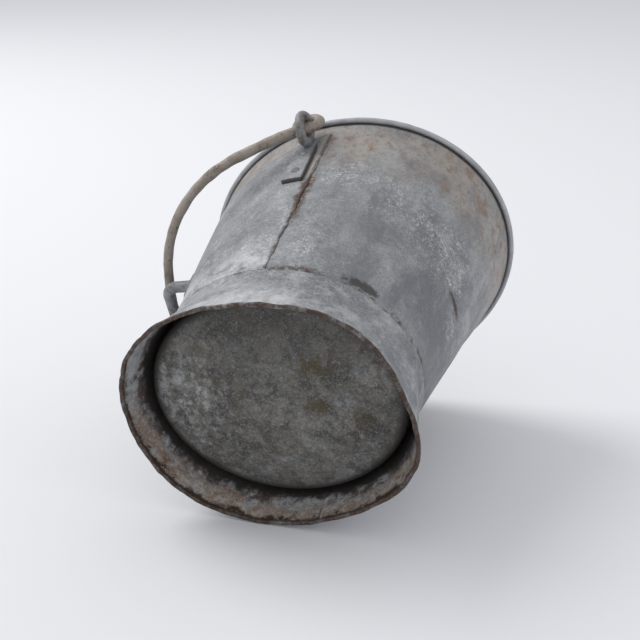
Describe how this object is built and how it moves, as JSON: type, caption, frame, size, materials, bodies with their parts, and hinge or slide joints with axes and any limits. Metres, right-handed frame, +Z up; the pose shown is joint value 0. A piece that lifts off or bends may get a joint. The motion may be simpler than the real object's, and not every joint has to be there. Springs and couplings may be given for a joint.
{
  "type": "milk pail",
  "caption": "Oval galvanised milk pail with a slanted mouth, a flared foot band, riveted ears, a swinging iron bail and a fixed D-shaped tipping handle.",
  "frame": {"origin": "on the pail's upright axis, level with the lowest points of the foot edge", "axes": "+Z up towards the mouth, +X towards the high pouring side of the mouth, -X towards the tipping handle, ears on -Y and +Y"},
  "size_m": [0.3297, 0.346, 0.3378],
  "materials": {
    "galvanised_sheet": "old dull galvanised sheet, blue-grey, chalky patches and a brown stain below the rim",
    "galvanised_jacket": "old dull galvanised sheet, blue-grey, rust along its seams",
    "galvanised_foot": "old galvanised sheet, pale outside, chalky and rusted inside and along the foot edge",
    "galvanised_bottom": "dark weathered zinc, speckled grey and brown",
    "solder": "dull tin solder",
    "iron_wire": "plain iron wire inside the rolled edges",
    "forged_iron": "hand-forged iron under worn zinc, grey-brown",
    "rivet_iron": "low hammered rivet heads under zinc",
    "bail_iron": "round iron rod, worn zinc over brown rust",
    "handle_iron": "round iron rod under dull zinc"
  },
  "bodies": {
    "pail": {"body_wall": "galvanised_sheet", "rim_wire": "iron_wire", "back_jacket": "galvanised_jacket", "foot_band": "galvanised_foot", "foot_wire": "iron_wire", "bottom_plate": "galvanised_bottom", "bottom_solder": "solder", "ear_right": "forged_iron", "ear_left": "forged_iron", "ear_rivets_right": "rivet_iron", "ear_rivets_left": "rivet_iron", "tipping_handle": "handle_iron", "handle_rivets": "rivet_iron", "foot_band_rivets": "rivet_iron"},
    "bail_handle": {"bail": "bail_iron"}
  },
  "joints": [
    {"name": "bail_swing", "type": "hinge", "parent": "pail", "child": "bail_handle", "pos_m": [-0.0105, 0, 0.2875], "axis": [0, 1, 0], "range_deg": [0, 238]}
  ]
}
